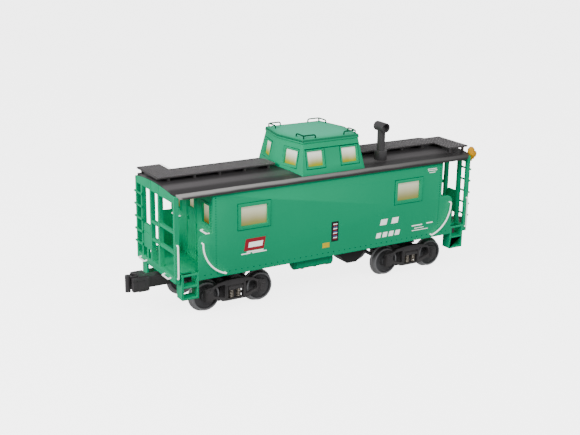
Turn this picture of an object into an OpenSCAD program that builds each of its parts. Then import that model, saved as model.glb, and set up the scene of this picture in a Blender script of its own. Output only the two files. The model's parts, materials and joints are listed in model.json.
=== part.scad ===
// Cabin caboose in O gauge model size: a lit car body on two swivelling trucks.
// X runs along the car, Y across it and Z up. The origin is midway along and across
// the car, level with the lowest point of the wheel flanges.
// Every height named *_z is above the rail tops, which lie flange_h above the origin.

/* [Body] */
// Length between the outer faces of the end walls
body_l = 159.2; // [133:0.2:191]
// Width over the side walls
body_w = 55; // [50:0.5:66]
// Thickness of the side and end walls
wall_t = 1.2; // [0.8:0.1:1.6]
// Height of the lower edge of the sides
sill_z = 22.7; // [22.5:0.1:27]
// Height of the sides from the lower edge to the eave
side_h = 47.8; // [44:0.1:57]
// How far the low side wings run past an end wall
wing_l = 8.8; // [7:0.1:10.6]
// Height of the low side wings
wing_h = 25.7; // [21:0.1:31]
// Corner radius of the wings
wing_r = 4; // [2:0.5:6]

/* [Windows] */
// Width of a side window
window_w = 16.9; // [12:0.1:20.3]
// Height of a side window
window_h = 11.3; // [9:0.1:13.6]
// Distance of a side window's centre from the middle of the car
window_x = 53.7; // [45:0.1:64]
// Height of a side window above the lower edge of the sides
window_up = 27.1; // [24:0.1:32]
// Width of the raised rim round a window
rim_w = 1.9; // [1.5:0.1:2.2]
// How far the rim stands off the wall
rim_t = 0.35; // [0.2:0.05:0.6]
// Thickness of the window panes
pane_t = 0.8; // [0.5:0.1:1.2]
// Width of an end wall window
end_window_w = 9; // [7:0.1:10.8]
// Distance of an end window's centre from the side of the car
end_window_in = 8.55; // [7.5:0.05:10]
// Height of the end wall windows above the lower edge of the sides
end_window_up = 29.3; // [25:0.1:33]
// Width of an end door
door_w = 13.5; // [11:0.1:16]
// Height of an end door
door_h = 40; // [34:0.1:43]

/* [Roof] */
// How far the eaves stand out past the side walls
eave_out = 1.5; // [1:0.1:2]
// Thickness of the roof sheet
roof_t = 1.2; // [0.8:0.1:1.6]
// Radius of the crown
crown_r = 180; // [150:1:216]
// Radius of the rounded eaves
eave_r = 3.5; // [2.8:0.1:4.2]

/* [Cupola] */
// Length of the cupola side along its foot
cupola_l = 43.6; // [36:0.1:52]
// How far the cupola's foot stands in from the side walls
cupola_in = 1; // [1:0.5:5]
// How far each pointed end runs past the side's foot
cupola_point = 5.8; // [4:0.1:8]
// Height of the cupola walls from the eave line
cupola_h = 21.9; // [18:0.1:26.3]
// How far each side leans in towards the top
cupola_lean = 5.5; // [4:0.1:6.6]
// How far each corner draws in lengthwise towards the top
cupola_draw = 3; // [2:0.1:4]
// Width of a cupola side window
cupola_window_w = 10.2; // [8:0.1:11]
// Height of the cupola windows
cupola_window_h = 8.5; // [7:0.1:9.6]

/* [Running boards] */
// Width of the running boards
board_w = 12.5; // [11:0.5:15]
// Thickness of the running boards
board_t = 1; // [0.8:0.1:1.2]
// Gap between the crown of the roof and the underside of the boards
board_gap = 1.8; // [1:0.1:2.1]
// Reach of the cross boards from the middle of the car towards the ladders
cross_board_y = 22.5; // [19:0.5:27]

/* [Smoke pipe] */
// Distance of the pipe from the middle of the car
pipe_x = 40.4; // [38:0.1:48]
// Distance of the pipe from the centre line, on the -Y side
pipe_y = 15; // [12:0.5:18]
// Diameter of the pipe
pipe_d = 4.9; // [4:0.1:5.8]
// Height of the top of the pipe's cap
pipe_top_z = 97.1; // [88:0.1:110]

/* [Ends] */
// Length of an end platform, from the end wall to the outer face of the end frame
platform_l = 22.5; // [18.7:0.1:27]
// Thickness of the end frame along the car
frame_t = 2.7; // [2.2:0.1:3.3]
// Width of the end frame's posts
post_w = 1.9; // [1.5:0.1:2.3]
// Depth of the end beam
beam_h = 4; // [3.4:0.1:4.8]
// Depth of the arched board over the platform, at the eave
arch_h = 2.6; // [2:0.1:3.1]
// Distance between the two middle posts of the end, centre to centre
post_gap = 10.9; // [9:0.1:13]
// Distance between the ladder's stiles, centre to centre
ladder_w = 7.8; // [6.5:0.1:9.4]
// Distance between the ladder's rungs
rung_pitch = 7.5; // [6.3:0.1:9]
// Depth of a step well into the car
step_w = 7; // [5.8:0.1:8.4]
// Height of the bottom step
step_z = 12.5; // [12.3:0.1:15]

/* [Trucks] */
// Distance of a truck's centre in from the end wall
truck_inset = 17.1; // [14.3:0.1:19]
// Wheelbase of a truck
wheelbase = 34.4; // [30:0.1:38]
// Diameter of the wheel tread
wheel_d = 17; // [15:0.1:18]
// Depth of the wheel flange
flange_h = 1.3; // [1:0.1:1.5]
// Distance between the backs of the wheels
back_to_back = 28.2; // [27.5:0.1:28.6]
// Width of a wheel with its flange
wheel_w = 4.4; // [3.7:0.1:5.2]
// Diameter of an axle
axle_d = 2.4; // [2:0.1:2.8]
// Thickness of a truck side frame
side_frame_t = 2.5; // [2.1:0.1:3]
// Diameter of the pin that a truck turns on
kingpin_d = 5; // [4.2:0.1:6]

/* [Couplers] */
// How far a coupler reaches past the end frame
coupler_out = 18.5; // [16:0.1:22.2]
// Height of a coupler's centre line
coupler_z = 17.3; // [16.8:0.1:17.5]
// Height of a coupler's head
head_h = 9.4; // [8:0.1:10.4]
// Diameter of a knuckle's pin
knuckle_pin_d = 1.8; // [1.5:0.1:2.1]

/* [Grab irons] */
// Diameter of the grab irons
iron_d = 0.9; // [0.8:0.05:1.1]
// How far the irons stand off what they are fixed to
iron_off = 1.6; // [1.3:0.1:1.9]

/* [Hidden] */

$fn = 48;
green = [0, 0.62, 0.46];
charcoal = [0.2, 0.21, 0.22];
black = [0.08, 0.08, 0.09];
white = [0.95, 0.95, 0.93];
lit = [1, 0.95, 0.75];
steel = [0.7, 0.7, 0.72];
amber = [1, 0.65, 0.05];

run_fit = 0.07;          // radial clearance of an axle, kingpin or knuckle pin
play = 0.3;              // gap between faces that slide past each other
eps = 0.01;              // overshoot of a cut

half_y = body_w / 2;
roof_w = body_w + 2 * eave_out;
cupola_w = body_w - 2 * cupola_in;

// Lengthwise stations
wing_x = body_l / 2 + wing_l;
frame_x = body_l / 2 + platform_l;
truck_x = body_l / 2 - truck_inset;
coupler_reach = frame_x - truck_x + coupler_out;
step_x = wing_x;
roof_x = frame_x - 0.3;
post_out = half_y - 0.8;      // outer faces of the corner posts

// Heights
eave_z = sill_z + side_h;
eave_y = roof_w / 2 - eave_r;
crown_drop = crown_r - sqrt(pow(crown_r - eave_r, 2) - pow(eave_y, 2));
eave_c = eave_z - 0.85;
crown_z = eave_c + crown_drop;
floor_t = 1.5;
floor_z = sill_z + 1;
deck_z = sill_z + beam_h - 0.2;
board_z = crown_z + board_gap;
cupola_z = eave_z + cupola_h;
window_z = sill_z + window_up;
axle_z = wheel_d / 2;
axle_r = axle_d / 2;
bolster_top = axle_z + 7.5;
plate_top = bolster_top + 1;
kingpin_r = kingpin_d / 2;
shank_z = coupler_z - 3.3;
shank_top = coupler_z + 3.3;
stub_d = iron_d + 0.2;   // diameter of a grab iron's fixing stubs

module on_rails() translate([0, 0, flange_h]) children();

module at_end(left) rotate(left ? 180 : 0) children();

module box(low, high) translate(low) cube(high - low);

// Upper half of the roof's cross-section, shrunk by t, as points from eave to eave
function tangent_a() = atan2(sqrt(pow(crown_r - eave_r, 2) - pow(eave_y, 2)), eave_y);
function roof_points(t) =
    let (a = tangent_a(), n = 9, m = 24, r = eave_r - t, c = crown_r - t)
    concat(
        [[eave_y + r, eave_z]],
        [for (i = [0:n]) let (b = 15 + (a - 15) * i / n)
            [eave_y + r * cos(b), eave_c + r * sin(b)]],
        [for (i = [1:m - 1]) let (b = a + (180 - 2 * a) * i / m)
            [c * cos(b), crown_z - crown_r + c * sin(b)]],
        [for (i = [0:n]) let (b = 180 - a + (a - 15) * i / n)
            [-eave_y + r * cos(b), eave_c + r * sin(b)]],
        [[-eave_y - r, eave_z]]);

// A bar along the car with the roof's cross-section, from x0 to x1
module roof_bar(t, x0, x1)
    translate([x0, 0, 0]) rotate([90, 0, 90]) linear_extrude(x1 - x0) polygon(roof_points(t));

function roof_z(y) = crown_z - crown_r + sqrt(pow(crown_r, 2) - pow(y, 2));

// ---- body ----

module side_outline() {
    translate([-body_l / 2, sill_z]) square([body_l, side_h + 4]);
    translate([-wing_x, sill_z]) square([2 * wing_x, wing_h - wing_r]);
    translate([-wing_x + wing_r, sill_z]) square([2 * (wing_x - wing_r), wing_h]);
    for (s = [-1, 1])
        translate([s * (wing_x - wing_r), sill_z + wing_h - wing_r]) circle(wing_r);
}

module side_windows(grow)
    for (s = [-1, 1])
        translate([s * window_x - window_w / 2 - grow, window_z - grow])
            square([window_w + 2 * grow, window_h + 2 * grow]);

module side_wall() translate([0, half_y, 0]) rotate([90, 0, 0]) {
    linear_extrude(wall_t) difference() {
        side_outline();
        side_windows(0);
    }
    translate([0, 0, -rim_t]) linear_extrude(rim_t + 0.2) difference() {
        side_windows(rim_w);
        side_windows(0);
    }
}

end_window_y = half_y - end_window_in;
end_window_z = sill_z + end_window_up;
door_window_h = window_h * 0.6;

module end_windows(grow) {
    for (s = [-1, 1])
        translate([s * end_window_y - end_window_w / 2 - grow, end_window_z - grow])
            square([end_window_w + 2 * grow, window_h + 2 * grow]);
    translate([-door_w / 4 - grow, end_window_z + window_h - door_window_h - grow])
        square([door_w / 2 + 2 * grow, door_window_h + 2 * grow]);
}

module end_wall() translate([body_l / 2 - wall_t, 0, 0]) rotate([90, 0, 90]) {
    linear_extrude(wall_t) difference() {
        translate([-half_y, sill_z]) square([body_w, side_h + 10]);
        end_windows(0);
    }
    translate([0, 0, wall_t - 0.2]) linear_extrude(rim_t + 0.2) difference() {
        union() {
            end_windows(rim_w * 0.7);
            translate([-door_w / 2, deck_z]) square([door_w, door_h]);
        }
        end_windows(0);
        translate([-door_w / 2 + rim_w, deck_z + rim_w])
            square([door_w - 2 * rim_w, door_h - 2 * rim_w]);
    }
}

module body_shell() color(green) on_rails() intersection() {
    union() {
        for (s = [0, 1]) mirror([0, s, 0]) side_wall();
        for (s = [0, 1]) mirror([s, 0, 0]) end_wall();
    }
    union() {
        box([-wing_x, -half_y - 1, sill_z], [wing_x, half_y + 1, eave_z]);
        roof_bar(roof_t, -wing_x, wing_x);
    }
}

module underframe() color(black) on_rails() difference() {
    union() {
        box([-body_l / 2 + wall_t, -half_y + wall_t, floor_z],
            [body_l / 2 - wall_t, half_y - wall_t, floor_z + floor_t]);
        box([-frame_x + frame_t, -6, shank_top + 0.6], [frame_x - frame_t, 6, sill_z]);
        box([-body_l / 2 + wall_t, -6, sill_z - eps], [body_l / 2 - wall_t, 6, floor_z + eps]);
        for (s = [-1, 1]) translate([s * truck_x, 0, 0]) {
            box([-5, -18, plate_top + 2.2], [5, 18, floor_z + eps]);
            translate([0, 0, plate_top + play]) cylinder(h = 3, d = 14);
        }
    }
    for (s = [-1, 1])
        translate([s * truck_x, 0, plate_top - 1]) cylinder(h = 6, r = kingpin_r);
}

module kingpins() color(steel) on_rails()
    for (s = [-1, 1]) translate([s * truck_x, 0, 0]) {
        translate([0, 0, bolster_top - 7.3]) cylinder(h = plate_top - bolster_top + 11.3, r = kingpin_r);
        translate([0, 0, bolster_top - 7.5]) cylinder(h = 1.2, r = kingpin_r + 1.6);
    }

module side_panes() color(lit) on_rails()
    for (s = [-1, 1], m = [0, 1]) mirror([0, m, 0])
        translate([s * window_x, half_y - wall_t - pane_t, window_z])
            box([-window_w / 2 - 1, 0, -1], [window_w / 2 + 1, pane_t, window_h + 1]);

module end_panes() color(lit) on_rails()
    for (m = [0, 1]) mirror([m, 0, 0])
        translate([body_l / 2 - wall_t - pane_t, 0, 0]) rotate([90, 0, 90])
            linear_extrude(pane_t) end_windows(0.8);

// Plan of the roof sheet, its corners rounded off over the end frames
module roof_plan() {
    r = 6.5;
    square([2 * (roof_x - r), roof_w + 2], center = true);
    square([2 * roof_x, roof_w - 2 * r], center = true);
    for (x = [-1, 1], y = [-1, 1])
        translate([x * (roof_x - r), y * (roof_w / 2 - r)]) circle(r);
}

module roof() color(charcoal) on_rails() difference() {
    intersection() {
        roof_bar(0, -roof_x, roof_x);
        translate([0, 0, eave_z + eps]) linear_extrude(40) roof_plan();
    }
    roof_bar(roof_t, -frame_x, frame_x);
    box([-cupola_l / 2 + 3, -cupola_w / 2 + 5, eave_z], [cupola_l / 2 - 3, cupola_w / 2 - 5, eave_z + 9]);
}

// ---- cupola ----

// Plan of the cupola at its foot (k = 0) or at its top (k = 1), shrunk by t
function cupola_plan(k, t) =
    let (x = cupola_l / 2 - k * cupola_draw - t, y = cupola_w / 2 - k * cupola_lean - t,
         p = x + cupola_point * (1 - 0.27 * k))
    [[x, -y], [p, 0], [x, y], [-x, y], [-p, 0], [-x, -y]];

module cupola_block(t, foot_z, top_z) hull() {
    translate([0, 0, foot_z]) linear_extrude(eps) polygon(cupola_plan(0, t));
    translate([0, 0, top_z]) linear_extrude(eps) polygon(cupola_plan(1, t));
}

cupola_foot_z = eave_z;
cupola_window_z = window_z + 28;
facet_a = atan2(cupola_point, cupola_w / 2);

module cupola_windows() {
    for (s = [-1, 1])
        box([s * cupola_l * 0.268 - cupola_window_w / 2, -cupola_w, cupola_window_z],
            [s * cupola_l * 0.268 + cupola_window_w / 2, cupola_w, cupola_window_z + cupola_window_h]);
    for (a = [0, 180], s = [-1, 1]) rotate(a)
        translate([cupola_l / 2, s * cupola_w / 4, 0]) rotate(s * facet_a)
            box([-6, -cupola_window_w / 2, cupola_window_z],
                [12, cupola_window_w / 2, cupola_window_z + cupola_window_h]);
}

module cupola_shell() color(green) on_rails() difference() {
    cupola_block(0, cupola_foot_z, cupola_z);
    cupola_block(wall_t, cupola_foot_z - 1, cupola_z + 1);
    roof_bar(0, -cupola_l, cupola_l);
    box([-cupola_l, -cupola_w, eave_z - 1], [cupola_l, cupola_w, eave_z + eps]);
    cupola_windows();
}

module cupola_panes() color(lit) on_rails() intersection() {
    difference() {
        cupola_block(wall_t, cupola_foot_z - 1, cupola_z + 1);
        cupola_block(wall_t + pane_t, cupola_foot_z - 1, cupola_z + 1);
    }
    box([-cupola_l, -cupola_w, cupola_window_z - 1],
        [cupola_l, cupola_w, cupola_window_z + cupola_window_h + 1]);
}

cupola_rim_z = cupola_z + 1;     // flat border that the roof irons stand on

module cupola_roof() color(green) on_rails() {
    translate([0, 0, cupola_z + eps]) linear_extrude(1 - eps) polygon(cupola_plan(1, -0.7));
    translate([0, 0, cupola_rim_z - 0.1]) linear_extrude(0.6) polygon(cupola_plan(1, 4));
}

// A round bar between two points that differ along one axis only
module bar(from, to, d) {
    v = to - from;
    low = [for (i = [0:2]) min(from[i], to[i])];
    translate(low) rotate([v[1] != 0 ? -90 : 0, v[0] != 0 ? 90 : 0, 0]) cylinder(h = norm(v), d = d);
}

module cupola_irons() color(green) on_rails()
    for (a = [0, 1], b = [0, 1]) mirror([a, 0, 0]) mirror([0, b, 0]) {
        x = cupola_l / 2 - cupola_draw;
        y = cupola_w / 2 - cupola_lean;
        top = cupola_rim_z + 1.9;
        for (p = [[x - 9, y - 1], [x - 1, y - 1], [x - 1, y - 9]])
            bar([p[0], p[1], cupola_rim_z], [p[0], p[1], top + iron_d / 2 + 0.1], stub_d);
        bar([x - 9, y - 1, top], [x - 1, y - 1, top], iron_d);
        bar([x - 1, y - 9, top], [x - 1, y - 1, top], iron_d);
    }

// ---- roof fittings ----

module running_board(left) color(charcoal) on_rails() at_end(left) {
    start = cupola_l / 2 + cupola_point + 0.6;
    end = frame_x + 0.5;
    difference() {
        union() {
            box([start, -board_w / 2, board_z], [end, board_w / 2, board_z + board_t]);
            box([end - board_w - 1.6, -cross_board_y, board_z], [end, 0, board_z + board_t]);
            for (i = [0:4])
                translate([start + 4 + i * (frame_x - frame_t - start - 8) / 4, 0, 0])
                    box([-0.7, -board_w / 2 + 0.5, board_z - board_gap - 1],
                        [0.7, board_w / 2 - 0.5, board_z + eps]);
            for (x = [end - board_w, roof_x - 2])
                box([x - 0.7, -cross_board_y + 1, eave_z], [x + 0.7, -cross_board_y + 2.4, board_z + eps]);
        }
        roof_bar(0, 0, frame_x);
    }
}

module smoke_pipe() color(black) on_rails() difference() {
    translate([pipe_x, -pipe_y, 0]) {
        cap_d = pipe_d + 0.9;
        cap_z = pipe_top_z - cap_d / 2;
        translate([0, 0, eave_z + 1]) cylinder(h = 8.4, d = pipe_d + 2.9);
        translate([0, 0, eave_z + 5]) cylinder(h = cap_z - eave_z - 5, d = pipe_d);
        difference() {
            translate([0, 4.5, cap_z]) rotate([90, 0, 0]) cylinder(h = 9, d = cap_d);
            for (s = [0, 1]) mirror([0, s, 0])
                translate([0, -5, cap_z]) rotate([-90, 0, 0]) cylinder(h = 3, d = cap_d - 1.6);
        }
    }
    roof_bar(0, 0, frame_x);
}

// ---- ends ----

module platform(left) color(green) on_rails() at_end(left) {
    x0 = body_l / 2;
    x1 = frame_x - frame_t;
    y0 = half_y - wall_t;
    z0 = deck_z - 1.4;
    difference() {
        box([x0, -y0, z0], [x1, y0, deck_z]);
        for (s = [0, 1]) mirror([0, s, 0])
            box([step_x - play, half_y - step_w - play, z0 - 1], [x1 + 1, y0 + 1, deck_z + 1]);
    }
}

ladder_y = -post_out + post_w / 2 + ladder_w;    // centre of the ladder's inner stile
post_ys = [post_out - post_w / 2, post_gap / 2, -post_gap / 2, -post_out + post_w / 2];

module end_frame(left) color(green) on_rails() at_end(left) {
    x0 = frame_x - frame_t;
    low = deck_z + 0.2 - beam_h;
    arch_z = eave_z - arch_h;
    intersection() {
        union() {
            box([x0, -post_out, arch_z], [roof_x, post_out, roof_z(0)]);
            for (y = post_ys)
                box([x0, y - post_w / 2, arch_z - eps], [frame_x, y + post_w / 2, roof_z(0)]);
        }
        union() {
            roof_bar(roof_t, x0 - 1, frame_x + 1);
            box([x0 - 1, -half_y, arch_z - 1], [frame_x + 1, half_y, eave_z + eps]);
        }
    }
    box([x0, -post_out, low], [frame_x, post_out, deck_z]);
    for (y = post_ys)
        box([x0, y - post_w / 2, deck_z - eps], [frame_x, y + post_w / 2, arch_z + eps]);
    for (z = [sill_z + 17, sill_z + 28.6])
        box([x0 + 0.4, post_gap / 2, z - 0.9], [frame_x - 0.4, post_out - 1, z + 0.9]);
    for (z = [sill_z + 16.8, sill_z + 27.2])
        box([x0 + 0.4, -post_gap / 2, z - 0.9], [frame_x - 0.4, post_gap / 2, z + 0.9]);
}

module ladder(left) color(green) on_rails() at_end(left) {
    x0 = frame_x - frame_t;
    rung = 1;
    box([x0, ladder_y - 1, deck_z], [frame_x, ladder_y + 0.9, eave_z - arch_h]);
    for (i = [0:4])
        translate([0, 0, deck_z + 6 + i * rung_pitch])
            box([frame_x - eps * (i % 2), -post_out - 0.4, 0], [frame_x + 0.8, ladder_y + 1.2, rung]);
}

module brake_stand(left) color(green) on_rails() at_end(left) {
    y0 = ladder_y + 1.9;
    y1 = -post_gap / 2 - post_w / 2 - 0.2;
    mid = (y0 + y1) / 2;
    z0 = sill_z + 9.6;
    box([frame_x - 1.4, mid - 1.2, deck_z], [frame_x - 0.2, mid + 1.2, z0 + eps]);
    box([frame_x - 1.6, y0, z0], [frame_x, y1, z0 + 9.3]);
    box([frame_x - 1.6, y0, z0 + 9.7], [frame_x, y1, z0 + 11]);
    box([frame_x - 1.4, y0 + 0.4, z0 + 9], [frame_x - 0.4, y1 - 0.4, z0 + 10]);
    translate([frame_x - 1.6, mid, z0 + 11 - eps]) intersection() {
        rotate([0, 90, 0]) cylinder(h = 1.6, d = y1 - y0);
        box([0, y0 - mid, -eps], [1.6, y1 - mid, (y1 - y0) * 0.35]);
    }
}

step_end = frame_x - frame_t - 0.7;      // a step well ends just short of the end frame

module steps(left) color(green) on_rails() at_end(left)
    for (s = [0, 1]) mirror([0, s, 0]) {
        y0 = half_y - step_w;
        top = sill_z + 4.5;
        mid = (step_z + top) / 2;
        for (x = [step_x, step_end - 1.2])
            box([x, y0, step_z], [x + 1.2, half_y, top]);
        box([step_x, y0, step_z], [step_end, half_y, step_z + 1.1]);
        box([step_x, y0 + 0.6, mid - 0.5], [step_end, half_y, mid + 0.5]);
        box([step_x, half_y - 1.2, top - 1.2], [step_end, half_y, top]);
    }

// ---- grab irons ----

sweep_r = 19.5;          // radius of the curved side irons
sweep_x = 66.8 - 79.6;   // centre of that curve from the end wall
sweep_z = 44.5 - 23.7;   // and from the lower edge of the side
sweep_a = 75;            // how far it turns

module side_irons() color(white) on_rails()
    for (a = [0, 1], b = [0, 1]) mirror([a, 0, 0]) mirror([0, b, 0])
        translate([body_l / 2 + sweep_x, half_y + iron_off, sill_z + sweep_z]) rotate([90, 0, 0]) {
            rotate(1.5 - sweep_a) rotate_extrude(angle = sweep_a) translate([sweep_r, 0]) circle(d = iron_d);
            for (t = [1.5, 1.5 - sweep_a])
                translate([sweep_r * cos(t), sweep_r * sin(t), -stub_d / 2])
                    cylinder(h = iron_off + stub_d / 2, d = stub_d);
        }

module end_irons(left) color(white) on_rails() at_end(left) {
    for (s = [-1, 1]) {
        y = s * post_out;
        yo = s * (post_out + iron_off - 0.4);
        x = frame_x - frame_t / 2;
        bar([x, yo, sill_z + 3], [x, yo, sill_z + 22], iron_d);
        for (z = [sill_z + 3, sill_z + 22])
            bar([x, y, z], [x, yo + s * stub_d / 2, z], stub_d);
    }
    for (yc = [-16.6, 16.6]) {
        x = frame_x + iron_off;
        z = sill_z + 1.9;
        bar([x, yc - 4, z], [x, yc + 4, z], iron_d);
        for (y = [yc - 4, yc + 4])
            bar([frame_x, y, z], [x + stub_d / 2, y, z], stub_d);
    }
    for (s = [-1, 1]) {
        x = body_l / 2 + iron_off;
        z = end_window_z - 4.7;
        bar([x, s * end_window_y - 4, z], [x, s * end_window_y + 4, z], iron_d);
        for (y = [s * end_window_y - 4, s * end_window_y + 4])
            bar([body_l / 2, y, z], [x + stub_d / 2, y, z], stub_d);
    }
}

// ---- marker lamp, at the -Y corner of the +X end only ----

lamp_y = post_out - post_w - 1;
lamp_z = eave_z + 1.8;
lamp_d = 4.4;

module marker_lamp() color(amber) on_rails() {
    translate([frame_x + lamp_d / 2 + 0.2, -lamp_y, lamp_z]) {
        translate([0, 0, -3]) cylinder(h = 6, d = lamp_d);
        translate([0, 0, 3 - eps]) cylinder(h = 1.4, d1 = lamp_d, d2 = lamp_d * 0.5);
        translate([0, 0, -4.5]) cylinder(h = 1.6, d = 2);
        rotate([0, 90, 0]) cylinder(h = lamp_d / 2 + 1.2, d = 3.2);
        rotate([90, 0, 0]) cylinder(h = lamp_d / 2 + 1.2, d = 3.2);
    }
    box([roof_x, -lamp_y - 0.8, lamp_z - 3], [frame_x + lamp_d / 2, -lamp_y + 0.8, lamp_z - 1.4]);
}

// ---- under the floor ----

module air_tank() color(green) on_rails() {
    r = 4.2;
    band_r = r + 0.35;
    translate([-23, -half_y + 8.5, floor_z - band_r]) rotate([0, 90, 0]) {
        cylinder(h = 24, r = r);
        translate([0, 0, -0.8]) cylinder(h = 1, r = r - 0.9);
        for (z = [5.2, 14]) translate([0, 0, z]) cylinder(h = 0.8, r = band_r);
        translate([0, 0, 22.6]) cylinder(h = 2.8, r = band_r);
    }
}

module valve_box() color(black) on_rails()
    translate([0, -half_y + 19, 0]) rotate([90, 0, 0]) linear_extrude(13)
        polygon([[9.5, floor_z], [9.5, sill_z - 4.5], [13, sill_z - 8.6], [14.2, sill_z - 9.4],
            [20.8, sill_z - 9.4], [22, sill_z - 8.6], [26, sill_z - 4.5], [26, floor_z]]);

// ---- trucks ----

wheel_out = back_to_back / 2 + wheel_w;          // outer face of a wheel
frame_in = wheel_out + 0.7;                      // inner face of a side frame
frame_out = frame_in + side_frame_t;

function mirrored(p) = concat(p, [for (i = [len(p) - 1:-1:0]) [-p[i][0], p[i][1]]]);

// One side frame of a truck, seen from the side, from the rail tops up
module side_frame_outline() {
    b = wheelbase / 2;
    translate([0, axle_z]) difference() {
        polygon(mirrored([
            [3, 8.8], [6, 8.6], [11, 7.7], [b - 2.6, 5.8], [b + 2.2, 5.2], [b + 2.2, -2.2],
            [b - 2.2, -2.2], [b - 3.4, -1.4], [b - 5.6, -1.6], [8.4, -3.5], [6, -3.8]]));
        translate([-5, -2.7]) square([10, 7.9]);
        for (s = [-1, 1]) scale([s, 1])
            polygon([[6.7, 5.9], [7.1, 6.3], [b - 5, 5.7], [b - 3.4, 4.4], [b - 3, 1.2],
                [b - 4.2, 0.2], [7.2, -1.6], [6.7, -1.2]]);
    }
}

module truck_frame(left) color(black) on_rails() at_end(left) translate([truck_x, 0, 0]) {
    b = wheelbase / 2;
    difference() {
        union() {
            for (s = [0, 1]) mirror([0, s, 0]) {
                translate([0, frame_out, 0]) rotate([90, 0, 0])
                    linear_extrude(side_frame_t) side_frame_outline();
                for (x = [-b, b]) {
                    box([x - 2.2, frame_in, axle_z - 2.2], [x + 2.2, frame_out + 0.8, axle_z + 4.9]);
                    box([x - 1.8, frame_out + 0.7, axle_z - 1.6], [x + 1.8, frame_out + 1.2, axle_z + 4.3]);
                }
            }
            box([-4.7, -frame_out - 0.5, axle_z + 2.6], [4.7, frame_out + 0.5, axle_z + 4.4]);
            box([-4.7, -frame_out + 0.5, axle_z + 4.2], [4.7, frame_out - 0.5, axle_z + 5.3]);
            box([-4.7, -frame_in - 0.2, axle_z + 2.6], [4.7, frame_in + 0.2, bolster_top]);
            translate([0, 0, bolster_top - 1]) cylinder(h = plate_top - bolster_top + 1, d = 12);
        }
        for (x = [-b, b])
            translate([x, frame_out + 0.4, axle_z]) rotate([90, 0, 0])
                cylinder(h = 2 * frame_out + 0.8, r = axle_r + run_fit);
        translate([0, 0, axle_z]) cylinder(h = 12, r = kingpin_r + run_fit);
    }
}

module truck_springs(left) color(steel) on_rails() at_end(left) translate([truck_x, 0, 0])
    for (s = [-1, 1], x = [-2.3, 2.3])
        translate([x, s * (frame_out - side_frame_t / 2), axle_z - 2.7]) cylinder(h = 5.3, d = 3.2);

// Half profile of a wheel: radius, then distance from the middle of the axle
wheel_profile = let (r = wheel_d / 2, b = back_to_back / 2, o = wheel_out) [
    [0, b - 0.8], [3, b - 0.8], [3.3, b + 0.9], [r - 2, b + 0.6], [r - 1.6, b],
    [r + 0.5, b], [r + flange_h - 0.25, b + 0.2], [r + flange_h, b + 0.6],
    [r + flange_h - 0.25, b + 0.95], [r + 0.15, b + 1.4], [r - 0.05, o - 0.2], [r - 0.25, o],
    [r - 1.2, o], [r - 1.6, o - 1.6], [3.2, o - 2.2], [2.8, o + 0.3], [0, o + 0.3]];

module wheelset(x) color([0.3, 0.3, 0.31]) on_rails() translate([x, 0, axle_z]) {
    rotate([90, 0, 0]) cylinder(h = 2 * frame_out + 0.2, r = axle_r, center = true);
    for (s = [0, 1]) mirror([0, s, 0]) rotate([-90, 0, 0]) rotate_extrude() polygon(wheel_profile);
}

// ---- couplers, drawn facing +X with the knuckle's pin on the -Y side ----

pin_back = 6.6;          // from the tip of a coupler back to its knuckle pin
pin_x = coupler_reach - pin_back;
pin_y = -3;
lug_h = 1.9;
nose_h = head_h + 0.4;    // height of a knuckle's rounded nose

module coupler(left) color(black) on_rails() at_end(left) translate([truck_x, 0, 0]) {
    head_x = coupler_reach - 12.2;
    z0 = coupler_z - head_h / 2;
    z1 = coupler_z + head_h / 2;
    difference() {
        union() {
            box([4.8, -4, axle_z + 3], [16, 4, bolster_top - 1]);
            box([14, -3, shank_z], [head_x - 3, 3, shank_top]);
            translate([0, 0, shank_z]) linear_extrude(shank_top - shank_z)
                polygon([[head_x - 3 - eps, -3], [head_x + eps, -4.6], [head_x + eps, 2.6], [head_x - 3 - eps, 3]]);
            box([head_x, -5.4, z0], [pin_x + 0.2, 4.2, z1]);
            box([head_x, 2.6, coupler_z - 3.8], [coupler_reach - 2.6, 5.6, coupler_z + 3.8]);
            translate([pin_x, pin_y, z0]) cylinder(h = head_h, d = 4.8);
        }
        translate([pin_x, pin_y, z0 + lug_h]) cylinder(h = head_h - 2 * lug_h, d = 6.2);
        translate([pin_x, 0.6, z0 + lug_h]) cylinder(h = head_h - 2 * lug_h, d = 6);
        box([pin_x, -6, z0 + lug_h], [pin_x + 6, 2.6, z1 - lug_h]);
        translate([pin_x + 1.9, 0.6, z0 - 1]) cylinder(h = head_h + 2, d = 4.6);
    }
    translate([pin_x, pin_y, z0]) cylinder(h = head_h, d = knuckle_pin_d);
}

module knuckle(left) color(black) on_rails() at_end(left) translate([truck_x, 0, 0]) {
    z0 = coupler_z - head_h / 2 + lug_h + play;
    h = head_h - 2 * lug_h - 2 * play;
    difference() {
        translate([pin_x, pin_y, 0]) {
            translate([0, 0, z0]) cylinder(h = h, d = 4.6);
            translate([0, 0, z0]) linear_extrude(h)
                polygon([[0, -1.8], [3.9, -1.6], [5.7, 0.4], [5.7, 2.4], [3.9, 2.8], [3.2, 1.2], [0, 1.7]]);
            translate([5, 2.5, coupler_z - nose_h / 2]) cylinder(h = nose_h, d = 3.2);
        }
        translate([pin_x, pin_y, z0 - 1]) cylinder(h = h + 2, r = knuckle_pin_d / 2 + run_fit);
    }
}

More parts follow.
